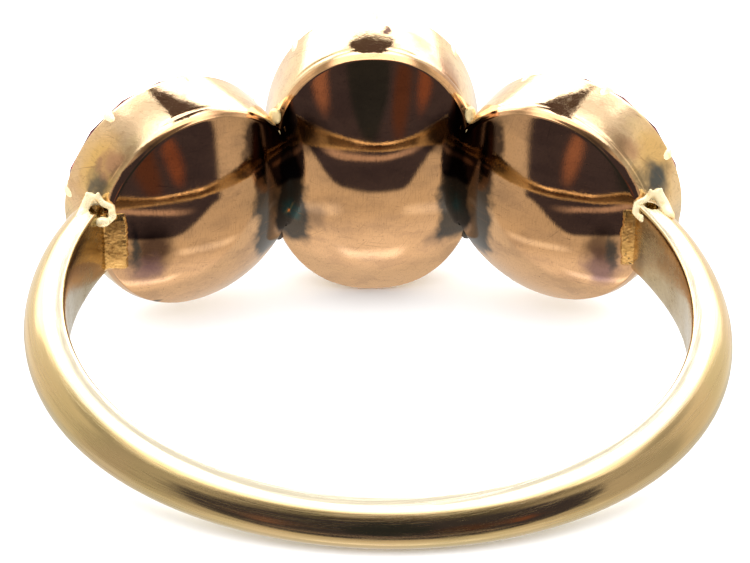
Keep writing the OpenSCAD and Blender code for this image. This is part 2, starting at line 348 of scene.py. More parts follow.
def rest_matrix():
    """From the upright frame in mm to the way that the ring lies on the table, in metres."""
    band = settings().band
    centre = settings().centre
    walls = settings().walls
    head_out = centre.out + PLATE_EDGE
    back_out = band.inner_radius - band.flat
    back_out += band.back_thickness * (BAND_FLAT_EDGE + BAND_DOME * math.cos(TOUCH_ANGLE))
    back_down = band.back_width / 2 * math.sin(TOUCH_ANGLE)
    tilt = math.atan((centre.half_height - back_down) / (head_out + back_out))
    lift = centre.half_height * math.cos(tilt) - head_out * math.sin(tilt)
    back_reach = (band.inner_radius - band.flat + band.back_thickness) * math.cos(tilt)
    table_out = centre.out + centre.depth + STONE_GAP + GIRDLE + CROWN
    table_down = (centre.half_height + walls.flare - GIRDLE_IN) * TABLE_SHARE * math.cos(math.pi / 8)
    front_reach = table_out * math.cos(tilt) + table_down * math.sin(tilt)
    shift = (back_reach - front_reach) / 2
    place = Matrix.Translation((0, shift * MM, lift * MM))
    return place @ Matrix.Rotation(tilt, 4, "X") @ Matrix.Scale(MM, 4)


def collet_matrix(collet):
    """From a collet's own frame to the upright frame of the ring, in mm."""
    return Matrix.Translation((collet.across, collet.out, 0)) @ Matrix.Rotation(collet.turn, 4, "Z")


def new_object(name, data):
    made = bpy.data.objects.new(name, data)
    bpy.context.scene.collection.objects.link(made)
    return made


def mesh_from(name, bm):
    """A mesh of what a bmesh holds, which is freed."""
    mesh = bpy.data.meshes.new(name)
    bm.to_mesh(mesh)
    bm.free()
    return mesh


def object_from(name, bm, matrix, finish):
    """A finished mesh object at the origin, with its place in its mesh."""
    bmesh.ops.recalc_face_normals(bm, faces=bm.faces)
    mesh = mesh_from(name, bm)
    mesh.transform(matrix)
    mesh.polygons.foreach_set("use_smooth", [True] * len(mesh.polygons))
    mesh.materials.append(finish)
    mesh.update()
    return new_object(name, mesh)


def plain_mesh(made):
    """What an object's modifiers make of it, as a mesh; the modifiers are removed."""
    graph = bpy.context.evaluated_depsgraph_get()
    mesh = bpy.data.meshes.new_from_object(made.evaluated_get(graph))
    made.modifiers.clear()
    if not mesh.polygons:
        raise RuntimeError(f"{made.name} came out empty")
    return mesh


def hand_over(piece):
    """Let a piece of the metal ride on the ring and stand for the plain mount."""
    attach(piece, BODY)
    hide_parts(MOUNT)


def colour(value):
    """A colour for a socket, with its alpha."""
    if isinstance(value, bpy.types.NodeSocket) or len(value) == 4:
        return value
    return (*value, 1.0)


class Nodes:
    """Short ways to add nodes to one tree, for materials, the light and Geometry Nodes alike."""

    def __init__(self, tree):
        self.tree = tree

    def add(self, kind, **values):
        made = self.tree.nodes.new(kind)
        for name, value in values.items():
            setattr(made, name, value)
        return made

    def link(self, value, socket):
        if isinstance(value, bpy.types.NodeSocket):
            self.tree.links.new(value, socket)
        elif value is not None:
            socket.default_value = value

    def fill(self, node, values):
        """Link or set inputs by their names; returns the node's first output."""
        for name, value in values.items():
            self.link(value, node.inputs[name])
        return node.outputs[0]

    def math(self, operation, a, b=None, c=None):
        made = self.add("ShaderNodeMath", operation=operation)
        for socket, value in zip(made.inputs, (a, b, c)):
            self.link(value, socket)
        return made.outputs[0]

    def times(self, a, b):
        return self.math("MULTIPLY", a, b)

    def plus(self, a, b):
        return self.math("ADD", a, b)

    def minus(self, a, b):
        return self.math("SUBTRACT", a, b)

    def absolute(self, a):
        return self.math("ABSOLUTE", a)

    def degrees(self, a, b):
        """The angle, in degrees, whose tangent is a over b."""
        return self.math("DEGREES", self.math("ARCTAN2", a, b))

    def blend(self, low, high, share):
        return self.math("MULTIPLY_ADD", self.minus(high, low), share, low)

    def vector(self, operation, a, b=None, scale=None):
        made = self.add("ShaderNodeVectorMath", operation=operation)
        self.link(a, made.inputs[0])
        self.link(b, made.inputs[1])
        if scale is not None:
            self.link(scale, made.inputs["Scale"])
        return made.outputs["Value"] if operation in ("LENGTH", "DOT_PRODUCT") else made.outputs["Vector"]

    def split(self, vector):
        made = self.add("ShaderNodeSeparateXYZ")
        self.link(vector, made.inputs[0])
        return made.outputs

    def join(self, x, y, z):
        made = self.add("ShaderNodeCombineXYZ")
        for socket, value in zip(made.inputs, (x, y, z)):
            self.link(value, socket)
        return made.outputs[0]

    def step(self, value, low, high, to_low=0.0, to_high=1.0):
        """A smooth step between two values."""
        made = self.add("ShaderNodeMapRange", interpolation_type="SMOOTHSTEP", clamp=True)
        for socket, given in zip(made.inputs, (value, low, high, to_low, to_high)):
            self.link(given, socket)
        return made.outputs[0]

    def slab(self, value, low, high, soft):
        """1 between two values and 0 outside them, with soft ends."""
        rising = self.step(value, low - soft, low + soft)
        return self.times(rising, self.step(value, high - soft, high + soft, 1.0, 0.0))

    def spot(self, vector, centre, radii, edge=0.5):
        """1 in the middle of a stain and 0 outside it."""
        away = self.vector("SUBTRACT", vector, centre)
        share = self.vector("LENGTH", self.vector("DIVIDE", away, radii))
        return self.step(share, edge, 1.0, 1.0, 0.0)

    def noise(self, vector, scale, detail=3.0, roughness=0.5, output="Fac"):
        made = self.add("ShaderNodeTexNoise", noise_dimensions="3D")
        self.fill(made, {"Vector": vector, "Scale": scale, "Detail": detail, "Roughness": roughness})
        return made.outputs[output]

    def mix(self, share, first, second):
        made = self.add("ShaderNodeMix", data_type="RGBA")
        self.link(share, made.inputs[0])
        self.link(colour(first), made.inputs[6])
        self.link(colour(second), made.inputs[7])
        return made.outputs[2]

    def lay(self, base, tint, share, strength):
        """Lay a tint over a colour."""
        return self.mix(self.times(share, strength), base, tint)

    def coordinates(self, output):
        return self.add("ShaderNodeTexCoord").outputs[output]


def new_finish(name, metallic=1.0):
    """Start a material; returns its nodes, its Principled shader and upright coordinates in mm."""
    made = bpy.data.materials.new(name)
    made.use_nodes = True
    made.node_tree.nodes.clear()
    nodes = Nodes(made.node_tree)
    shader = nodes.add("ShaderNodeBsdfPrincipled")
    nodes.link(shader.outputs[0], nodes.add("ShaderNodeOutputMaterial").inputs["Surface"])
    shader.inputs["Metallic"].default_value = metallic
    location, rotation, scale = rest_matrix().decompose()
    where = nodes.fill(
        nodes.add("ShaderNodeMapping", vector_type="TEXTURE"),
        {
            "Vector": nodes.coordinates("Object"),
            "Location": location,
            "Rotation": rotation.to_euler(),
            "Scale": scale,
        },
    )
    return nodes, shader, where


def hairlines(nodes, where, across, width):
    """Thin long scratches, 1 on a line; across is the direction that they lie close together in."""
    x, y, _ = nodes.split(where)
    along = nodes.vector("DOT_PRODUCT", where, across)
    drawn = nodes.join(nodes.times(x, 0.3), nodes.times(y, 0.3), along)
    return nodes.slab(nodes.noise(drawn, 1.6, 1.0), 0.5 - width, 0.5 + width, width)


def finish_metal(nodes, shader, where, base, roughness, brushing, bump, fineness, streaks=0.2):
    """Set the colour, and give the polish its fine brushed scratches and streaks."""
    grain = nodes.noise(nodes.vector("MULTIPLY", where, brushing), fineness, 3.0, 0.65)
    darker = nodes.vector("SCALE", base, scale=0.45)
    uneven = nodes.noise(where, 1.1)
    rough = nodes.math("MULTIPLY_ADD", nodes.step(grain, 0.4, 0.75), roughness * 0.7, roughness * 0.6)
    bumped = nodes.add("ShaderNodeBump")
    nodes.fill(bumped, {"Distance": 0.00001, "Strength": bump, "Height": grain})
    nodes.fill(
        shader,
        {
            "Base Color": nodes.mix(nodes.step(grain, 0.46, 0.72, 0.0, streaks), base, darker),
            "Roughness": nodes.times(rough, nodes.step(uneven, 0.3, 0.75, 0.6, 1.5)),
            "Normal": bumped.outputs[0],
        },
    )


def ragged(nodes, where, size, reach):
    """Coordinates that are shaken, so that what is drawn in them gets ragged borders."""
    shake = nodes.noise(where, size, 4.0, output="Color")
    shaken = nodes.vector("SUBTRACT", shake, (0.5, 0.5, 0.5))
    return nodes.vector("ADD", where, nodes.vector("SCALE", shaken, scale=reach))


def lay_stains_and_painted_light(nodes, where, base, stains_and_painted_light):
    """Lay stains, and painted reflections and shade, of (tint, place, reach, strength) over a colour."""
    for tint, centre, radii, strength in stains_and_painted_light:
        base = nodes.lay(base, tint, nodes.spot(where, centre, radii, 0.25), strength)
    return base


def make_band_gold():
    """Yellow gold of the band, rosier in patches, with long scratches along it and pale edges, partly wear
    and partly a painted highlight.
    """
    nodes, shader, where = new_finish("band_gold")
    patches = nodes.step(nodes.noise(where, 0.35, 2.0), 0.4, 0.65)
    base = nodes.mix(patches, tuple(settings().metals.yellow), (0.68, 0.50, 0.26))
    axis = rest_matrix().to_3x3() @ Vector((0, 0, 1))
    facing = nodes.vector("DOT_PRODUCT", nodes.coordinates("Normal"), axis.normalized())
    # Painted highlight: the edges that face along the finger are made pale cream, partly wear, so they read
    # white like a glint.
    worn_edge_highlight = nodes.step(nodes.absolute(facing), 0.88, 0.96)
    base = nodes.mix(worn_edge_highlight, base, (0.90, 0.81, 0.60))
    x, y, z = nodes.split(where)
    reach = nodes.vector("LENGTH", nodes.join(x, y, 0.0))
    turn = nodes.math("ARCTAN2", x, nodes.times(y, -1.0))
    round_ring = nodes.join(nodes.times(turn, 0.6), nodes.times(reach, 5.0), z)
    finish_metal(nodes, shader, round_ring, base, 0.27, (1.0, 1.0, 5.0), 0.1, 5.0, 0.08)
    # The same edges lose some metallic, so they catch the soft light and brighten the painted highlight.
    nodes.link(nodes.math("MULTIPLY_ADD", worn_edge_highlight, -0.35, 1.0), shader.inputs["Metallic"])


def make_band_inside():
    """The duller inside of the band, darker by the left shoulder, paler towards the back, and with painted
    shade in a line along the middle of its back.
    """
    nodes, shader, where = new_finish("band_inside")
    patches = nodes.step(nodes.noise(where, 0.9), 0.35, 0.65)
    base = nodes.mix(patches, (0.50, 0.36, 0.17), (0.62, 0.47, 0.25))
    x, y, z = nodes.split(where)
    base = nodes.mix(nodes.step(x, -8.3, -7.6, 0.8, 0.0), base, (0.34, 0.26, 0.12))
    base = nodes.mix(nodes.step(y, -2.5, 1.5), (0.74, 0.60, 0.38), base)
    # Painted shade: a dark line along the middle of the inside of the back, which the collets' backs mirror
    # as a dark crescent.
    inside_painted_shade = nodes.times(nodes.slab(z, -0.5, 0.5, 0.08), nodes.step(y, -4.5, -2.5, 0.85, 0.0))
    base = nodes.mix(inside_painted_shade, base, INSIDE_SHADE_TINT)
    pits = nodes.step(nodes.noise(where, 9.0, 3.0, 0.7), 0.62, 0.68)
    base = nodes.lay(base, PIT, pits, 0.6)
    finish_metal(nodes, shader, where, base, 0.24, (1.0, 1.0, 4.0), 0.3, 5.0)


def make_plate_gold():
    """Rose gold of the domed backs, with heat stains, and dark along the creases between the collets, which
    is partly tarnish and partly painted shade.
    """
    metals = settings().metals
    nodes, shader, where = new_finish("plate_gold")
    wavy = ragged(nodes, where, 1.7, 0.7)
    patches = nodes.step(nodes.noise(where, 0.5, 2.0), 0.35, 0.7)
    base = nodes.mix(patches, tuple(metals.rose), (0.80, 0.48, 0.25))
    smeared = nodes.vector("MULTIPLY", wavy, (0.7, 0.7, 1.6))
    film = nodes.step(nodes.noise(smeared, 0.9, 4.0, 0.6), 0.42, 0.68)
    base = nodes.lay(base, (0.50, 0.30, 0.17), film, 0.55)
    base = lay_stains_and_painted_light(nodes, wavy, base, PLATE_STAINS)
    x, _, z = nodes.split(wavy)
    # Dark along the creases between the collets: partly tarnish, and partly painted shade and reflection
    # where the collets shade and mirror each other.
    past_inner = nodes.minus(nodes.absolute(x), nodes.step(z, -0.5, 1.6, 1.93, 2.32))
    past_outer = nodes.minus(nodes.absolute(x), nodes.step(z, 1.0, 1.8, 3.5, 3.82))
    crease = nodes.times(nodes.step(past_inner, -0.14, 0.14), nodes.step(past_outer, -0.14, 0.14, 1.0, 0.0))
    crease = nodes.times(crease, nodes.slab(z, -2.1, 2.6, 0.25))
    dark = nodes.mix(nodes.step(z, -0.4, 1.2), BLUE_BLACK, BROWN_BLACK)
    base = nodes.lay(base, dark, crease, 0.93)
    base = lay_stains_and_painted_light(nodes, wavy, base, CREASE_STAINS)
    speckle = nodes.step(nodes.noise(where, 16.0, 2.0, 0.7), 0.70, 0.74)
    base = nodes.lay(base, tuple(metals.soot), speckle, 0.7)
    upright_lines = hairlines(nodes, where, (0.6, 0.6, 4.0), 0.004)
    slanted_lines = hairlines(nodes, where, (4.0, 3.0, -2.5), 0.003)
    base = nodes.lay(base, (0.30, 0.17, 0.09), nodes.math("MAXIMUM", upright_lines, slanted_lines), 0.35)
    finish_metal(nodes, shader, where, base, 0.068, (3.5, 3.5, 0.3), 0.09, 9.0, 0.26)


def make_wall_gold():
    """Pale gold of the collet walls, yellower and rosier in zones, with painted reflections in golden, tan
    and slate patches (the slate ones dark by the shoulders) and a claw's painted shadow at the top of the
    centre wall.
    """
    nodes, shader, where = new_finish("wall_gold")
    wavy = ragged(nodes, where, 1.3, 1.2)
    zones = nodes.step(nodes.noise(where, 0.6, 3.0, 0.6), 0.42, 0.6)
    base = nodes.mix(zones, tuple(settings().metals.pale), (0.86, 0.62, 0.38))
    base = nodes.lay(base, (0.62, 0.38, 0.22), nodes.step(nodes.noise(wavy, 1.4, 4.0, 0.6), 0.48, 0.66), 0.4)
    # Painted reflections and a claw's painted shadow, laid on as patches.
    base = lay_stains_and_painted_light(nodes, wavy, base, WALL_PAINTED_REFLECTIONS_AND_SHADOW)
    base = nodes.lay(base, (0.40, 0.24, 0.12), hairlines(nodes, where, (1.5, 3.5, 2.0), 0.004), 0.5)
    finish_metal(nodes, shader, where, base, 0.12, (1.0, 1.0, 3.0), 0.3, 5.0, 0.25)


def make_solder_gold():
    """Pitted yellow solder, dark in its pits."""
    metals = settings().metals
    nodes, shader, where = new_finish("solder_gold")
    pits = nodes.step(nodes.noise(where, 3.4, 4.0, 0.7), 0.56, 0.68)
    patches = nodes.step(nodes.noise(where, 1.8), 0.35, 0.65)
    base = nodes.mix(patches, tuple(metals.solder), (0.78, 0.46, 0.15))
    outer = nodes.step(nodes.absolute(nodes.split(where)[0]), 7.1, 7.6, 0.45, 1.0)
    base = nodes.lay(base, tuple(metals.soot), pits, outer)
    finish_metal(nodes, shader, where, base, 0.45, (1.0, 1.0, 1.0), 0.5, 7.0)


def make_bright_solder():
    """Runs of solder, dark low in the creases, which is partly tarnish and partly painted shade, and bright
    at the top as a painted highlight.
    """
    nodes, shader, where = new_finish("bright_solder")
    z = nodes.split(where)[2]
    # Painted light: dark low in the creases (partly tarnish, partly painted shade) and bright at the top,
    # where a lower metallic lets it catch the soft light as a painted highlight.
    base = nodes.mix(nodes.step(z, 1.5, 2.0), CREASE_TARNISH_AND_SHADE, (0.95, 0.72, 0.36))
    finish_metal(nodes, shader, where, base, 0.5, (1.0, 1.0, 1.0), 0.2, 6.0)
    nodes.link(nodes.step(z, 1.5, 2.0, 1.0, 0.55), shader.inputs["Metallic"])


def make_lip_gold():
    """Pale gold of the claws and of the lips at the shoulders, yellower in its folds; its near-white colour
    and half metallic finish are a painted highlight.
    """
    # Painted highlight: near-white gold at half metallic, so that it catches the soft light and stays bright
    # from every side.
    nodes, shader, where = new_finish("lip_gold", 0.5)
    folds = nodes.step(nodes.noise(where, 3.2, 3.0, 0.6), 0.56, 0.68)
    base = nodes.lay((0.94, 0.80, 0.50), tuple(settings().metals.solder), folds, 0.6)
    finish_metal(nodes, shader, where, base, 0.5, (1.0, 1.0, 1.0), 0.15, 6.0, 0.1)


def make_garnet():
    """Deep red stone with polished facets, with painted shade round its girdle where it stands out of the
    rim.
    """
    nodes, shader, where = new_finish("garnet", 0.0)
    cloud = nodes.step(nodes.noise(where, 0.3, 2.0), 0.3, 0.7)
    base = nodes.mix(cloud, tuple(settings().stones.garnet), (0.38, 0.012, 0.022))
    side = settings().right
    centre = settings().centre
    x, y, _ = nodes.split(where)
    aside = nodes.absolute(x)
    outward = nodes.times(nodes.minus(aside, side.across), -math.sin(side.turn))
    depth = nodes.math("MULTIPLY_ADD", nodes.minus(y, side.out), math.cos(side.turn), outward)
    # Painted shade: the girdle's band just past the rim is darkened, so it reads as a thin dark line.
    beside = nodes.slab(depth, side.depth, side.depth + GIRDLE_SHOWN, 0.02)
    middle = nodes.slab(nodes.minus(y, centre.out), centre.depth, centre.depth + GIRDLE_SHOWN, 0.02)
    beside = nodes.times(beside, nodes.step(aside, *CENTRE_ENDS))
    middle = nodes.times(middle, nodes.step(aside, *CENTRE_ENDS, 1.0, 0.0))
    base = nodes.lay(base, GIRDLE_PAINTED_SHADE, nodes.plus(beside, middle), 0.9)
    nodes.fill(shader, {"Base Color": base, "Roughness": 0.02, "IOR": 1.76, "Transmission Weight": 0.97})


def material(name):
    """The named finish, made once."""
    makers = {
        "band_gold": make_band_gold,
        "band_inside": make_band_inside,
        "plate_gold": make_plate_gold,
        "wall_gold": make_wall_gold,
        "solder_gold": make_solder_gold,
        "bright_solder": make_bright_solder,
        "lip_gold": make_lip_gold,
        "garnet": make_garnet,
    }
    if name not in bpy.data.materials:
        makers[name]()
    return bpy.data.materials[name]


def outline_point(half_width, half_height, squareness, angle):
    """A point of a collet's oval outline."""
    point = []
    for size, value in ((half_width, math.cos(angle)), (half_height, math.sin(angle))):
        point.append(size * math.copysign(abs(value) ** (2 / squareness), value))
    return point


def collet_profile(collet, radius, seam):
    """Steps of (depth, distance out) from the dome's middle, over the plate's edge, up the wall and in."""
    walls = settings().walls
    rim = collet.depth
    seam_from = SEAM_DEPTH + SEAM_SECTION[0][0]
    seam_to = SEAM_DEPTH + SEAM_SECTION[-1][0]

    def wall(depth):
        return radius + walls.flare * (1 - (1 - depth / rim) ** WALL_BULGE)

    def dome(out):
        return -collet.dome * (1 - (out / radius) ** 2)

    steps = []
    for k in range(1, DOME_STEPS + 1):
        out = (radius - EDGE_IN - EDGE_ROUND) * k / DOME_STEPS
        steps.append((dome(out), out))
    crease = Vector((dome(radius - EDGE_IN), radius - EDGE_IN))
    seam_start = Vector((seam_from, wall(seam_from)))
    before = Vector(steps[-1])
    after = crease + (seam_start - crease).normalized() * EDGE_ROUND
    for k in range(1, EDGE_STEPS + 1):
        u = k / EDGE_STEPS
        steps.append(tuple((1 - u) ** 2 * before + 2 * u * (1 - u) * crease + u * u * after))
    for k in range(1, EDGE_STEPS):
        u = k / EDGE_STEPS
        bulge = BEVEL_BULGE * 4 * u * (1 - u)
        out = after.y + (seam_start.y - after.y) * u + bulge
        steps.append((after.x + (seam_start.x - after.x) * u, out))
    for away, share in SEAM_SECTION:
        steps.append((SEAM_DEPTH + away, wall(SEAM_DEPTH + away) - seam * share))
    for k in range(1, WALL_STEPS + 1):
        depth = seam_to + (rim - RIM_ROUND - seam_to) * k / WALL_STEPS
        steps.append((depth, wall(depth)))
    for k in range(1, RIM_STEPS + 1):
        turn = math.pi / 2 * k / RIM_STEPS
        out = radius + walls.flare - RIM_ROUND * (1 - math.cos(turn))
        steps.append((rim - RIM_ROUND * (1 - math.sin(turn)), out))
    inner = radius + walls.flare - walls.wall
    steps.append((rim - SEAT_HEIGHT, inner))
    steps.append((HOLLOW_FULL, inner))
    steps.append((FLOOR_THICKNESS, inner - FLOOR_INSET))
    return steps


def add_collet(bm, collet):
    """The closed skin of one collet, from its dome to the floor of the hollow under its stone."""
    columns = []
    for i in range(ROUND_STEPS):
        angle = math.tau * i / ROUND_STEPS
        x, z = outline_point(collet.half_width, collet.half_height, collet.squareness, angle)
        u, w = outline_point(collet.half_width, collet.half_height, 2.0, angle)
        radius = math.hypot(x, z)
        wave = noise.noise(Vector((x, z, collet.across)) * SEAM_WAVE)
        seam = settings().walls.seam * max(0.0, min(1.0, 0.2 + 2.2 * wave))
        column = []
        for depth, out in collet_profile(collet, radius, seam):
            share = out / radius
            inward = max(0.0, 1 - share ** 2) if depth < 0 else 0.0
            across = (x + (u - x) * inward) * share
            along = (z + (w - z) * inward) * share - collet.sag * inward
            column.append(bm.verts.new((across, depth, along)))
        columns.append(column)
    first = bm.verts.new((0, -collet.dome, -collet.sag))
    last = bm.verts.new((0, FLOOR_THICKNESS, 0))
    for here, after in zip(columns, columns[1:] + columns[:1]):
        bm.faces.new((first, here[0], after[0]))
        for k in range(len(here) - 1):
            bm.faces.new((here[k], here[k + 1], after[k + 1], after[k]))
        bm.faces.new((last, after[-1], here[-1]))


def make_collet(name, collet):
    """One closed collet: a domed rose gold back soldered to a pale gold wall, gently uneven."""
    bm = bmesh.new()
    add_collet(bm, collet)
    bmesh.ops.recalc_face_normals(bm, faces=bm.faces)
    aside = Vector((collet.across, 0, 0))
    for vert in bm.verts:
        vert.co += vert.normal * (HAND_REACH * noise.noise((vert.co + aside) * HAND_SIZE))
    for face in bm.faces:
        face.material_index = 0 if face.calc_center_median().y < PLATE_THICKNESS else 1
    piece = object_from(name, bm, rest_matrix() @ collet_matrix(collet), material("plate_gold"))
    piece.data.materials.append(material("wall_gold"))
    hand_over(piece)


class RING_OT_collets(bpy.types.Operator):
    """Make the three closed collets."""

    bl_idname = "ring.collets"
    bl_label = "Collets"

    def execute(self, context):
        for name, collet in collets().items():
            make_collet(f"collet_{name}", collet)
        return {"FINISHED"}


def new_geometry_tree(name, inputs):
    """A Geometry Nodes tree with named number inputs; returns it with its nodes and its input sockets."""
    tree = bpy.data.node_groups.new(name, "GeometryNodeTree")
    tree.interface.new_socket("Geometry", in_out="INPUT", socket_type="NodeSocketGeometry")
    for label, value in inputs.items():
        kind = "NodeSocketInt" if isinstance(value, int) else "NodeSocketFloat"
        tree.interface.new_socket(label, in_out="INPUT", socket_type=kind).default_value = value
    tree.interface.new_socket("Geometry", in_out="OUTPUT", socket_type="NodeSocketGeometry")
    nodes = Nodes(tree)
    source = nodes.add("NodeGroupInput")
    return tree, nodes, {label: source.outputs[label] for label in inputs}


def bar_of(nodes, sides, sections, depth):
    """A straight round bar of radius 1 with its sections along Z; returns it and its points' x, y and z."""
    bar = nodes.add("GeometryNodeMeshCylinder", fill_type="NGON")
    nodes.fill(bar, {"Vertices": sides, "Side Segments": sections, "Radius": 1.0, "Depth": depth})
    return bar.outputs["Mesh"], *nodes.split(nodes.add("GeometryNodeInputPosition").outputs[0])


def moved(nodes, geometry, x, y, z):
    """Give each point of a form its new place."""
    values = {"Geometry": geometry, "Position": nodes.join(x, y, z)}
    return nodes.fill(nodes.add("GeometryNodeSetPosition"), values)


def end_geometry_tree(nodes, geometry, finish):
    """End a tree in Realize Instances and Set Material."""
    real = nodes.fill(nodes.add("GeometryNodeRealizeInstances"), {"Geometry": geometry})
    smooth = nodes.fill(nodes.add("GeometryNodeSetShadeSmooth"), {"Geometry": real})
    coat = nodes.fill(nodes.add("GeometryNodeSetMaterial"), {"Geometry": smooth, "Material": finish})
    nodes.link(coat, nodes.add("NodeGroupOutput").inputs[0])


def grown(name, tree, inputs, matrix, finish):
    """Run a tree on an empty mesh, and keep its result as a plain mesh with its place in it."""
    piece = new_object(name, bpy.data.meshes.new(name))
    modifier = piece.modifiers.new(tree.name, "NODES")
    modifier.node_group = tree
    for item in tree.interface.items_tree:
        if item.item_type == "SOCKET" and item.in_out == "INPUT" and item.name in inputs:
            modifier[item.identifier] = inputs[item.name]
    mesh = plain_mesh(piece)
    piece.data = mesh
    bm = bmesh.new()
    bm.from_mesh(mesh)
    bmesh.ops.remove_doubles(bm, verts=bm.verts, dist=1e-6)
    bmesh.ops.recalc_face_normals(bm, faces=bm.faces)
    bm.to_mesh(mesh)
    bm.free()
    mesh.transform(matrix)
    mesh.materials.clear()
    mesh.materials.append(finish)
    return piece


def band_tree():
    """The band: a bar bent round the finger, with a D-shaped section that widens to the shoulders."""
    band = settings().band
    inputs = {
        "Sides": 64,
        "Sections": 260,
        "Inner radius": band.inner_radius,
        "Back thickness": band.back_thickness - FACET_SLACK,
        "Shoulder thickness": band.shoulder_thickness - FACET_SLACK,
        "Back width": band.back_width,
        "Shoulder width": band.shoulder_width,
        "Reach": band.reach,
        "Skew": band.skew,
        "Flat": band.flat,
    }
    tree, nodes, given = new_geometry_tree("bent_band", inputs)
    bar, x, y, z = bar_of(nodes, given["Sides"], given["Sections"], 2.0)
    angle = nodes.times(z, given["Reach"])
    share = nodes.math("DIVIDE", nodes.minus(1.0, nodes.math("COSINE", angle)), BAND_WIDENS)
    share = nodes.math("MINIMUM", share, 1.0)
    width = nodes.blend(given["Back width"], given["Shoulder width"], share)
    thick = nodes.blend(given["Back thickness"], given["Shoulder thickness"], share)
    skewed = nodes.times(given["Skew"], nodes.math("SINE", nodes.times(angle, 2.0)))
    pressed = nodes.times(given["Flat"], nodes.math("COSINE", nodes.times(angle, 3.0)))
    radius = nodes.minus(nodes.plus(given["Inner radius"], skewed), pressed)
    outer = nodes.times(nodes.math("MAXIMUM", x, 0.0), BAND_DOME)
    inner = nodes.math("POWER", nodes.math("MAXIMUM", nodes.times(x, -1.0), 0.0), 0.4)
    lift = nodes.plus(nodes.minus(outer, nodes.times(inner, BAND_FLAT_EDGE)), BAND_FLAT_EDGE)
    reach = nodes.math("MULTIPLY_ADD", lift, thick, radius)
    across = nodes.times(reach, nodes.math("SINE", angle))
    out = nodes.times(reach, nodes.times(nodes.math("COSINE", angle), -1.0))
    along = nodes.times(nodes.times(y, width), 0.5)
    end_geometry_tree(nodes, moved(nodes, bar, across, out, along), material("band_gold"))
    return tree, inputs


def fork_hollow(collet, side):
    """The ragged hollow left in the fork at the upper corner of the band's end."""
    bm = bmesh.new()
    bmesh.ops.create_cone(
        bm, cap_ends=True, segments=48, radius1=FORK_RADIUS, radius2=FORK_RADIUS, depth=FORK_DEPTH
    )
    tall = [edge for edge in bm.edges if abs(edge.verts[0].co.z - edge.verts[1].co.z) > 0.1]
    bmesh.ops.subdivide_edges(bm, edges=tall, cuts=20)
    for vert in bm.verts:
        vert.co.x *= 1 + FORK_RAGGED * noise.noise(vert.co * 4.0 + Vector((side, 1, 0)))
        vert.co.y *= 1 + FORK_RAGGED * noise.noise(vert.co * 4.0 + Vector((1, side, 5)))
    spot = Matrix.Translation((side * (collet.half_width + FORK_OUT), FORK_OUT, FORK_UP))
    bmesh.ops.transform(bm, matrix=collet_matrix(collet) @ spot, verts=bm.verts)
    mesh = mesh_from("fork_hollow", bm)
    mesh.transform(rest_matrix())
    return new_object("fork_hollow", mesh)


def hollow_out(piece, cutters):
    """Cut forms out of a piece, and keep the result as a plain mesh."""
    for cutter in cutters:
        cut = piece.modifiers.new("hollow", "BOOLEAN")
        cut.operation = "DIFFERENCE"
        cut.solver = "EXACT"
        cut.object = cutter
    piece.data = plain_mesh(piece)
    for cutter in cutters:
        bpy.data.objects.remove(cutter)


def dull_inside(mesh):
    """Give the duller finish to the faces that look in at the finger."""
    upright = rest_matrix().inverted()
    turn = upright.to_3x3().normalized()
    for face in mesh.polygons:
        middle = upright @ face.center
        inward = Vector((-middle.x, -middle.y, 0)).normalized()
        face.material_index = 1 if (turn @ face.normal).dot(inward) > 0.8 else 0


class RING_OT_band(bpy.types.Operator):
    """Make the band, with the hollows in the forks at its ends."""

    bl_idname = "ring.band"
    bl_label = "Band"

    def execute(self, context):
        tree, inputs = band_tree()
        piece = grown("band", tree, inputs, rest_matrix(), material("band_gold"))
        hollow_out(piece, [fork_hollow(collets()[name], side) for name, side in SIDES.items()])
        piece.data.materials.append(material("band_inside"))
        dull_inside(piece.data)
        hand_over(piece)
        return {"FINISHED"}


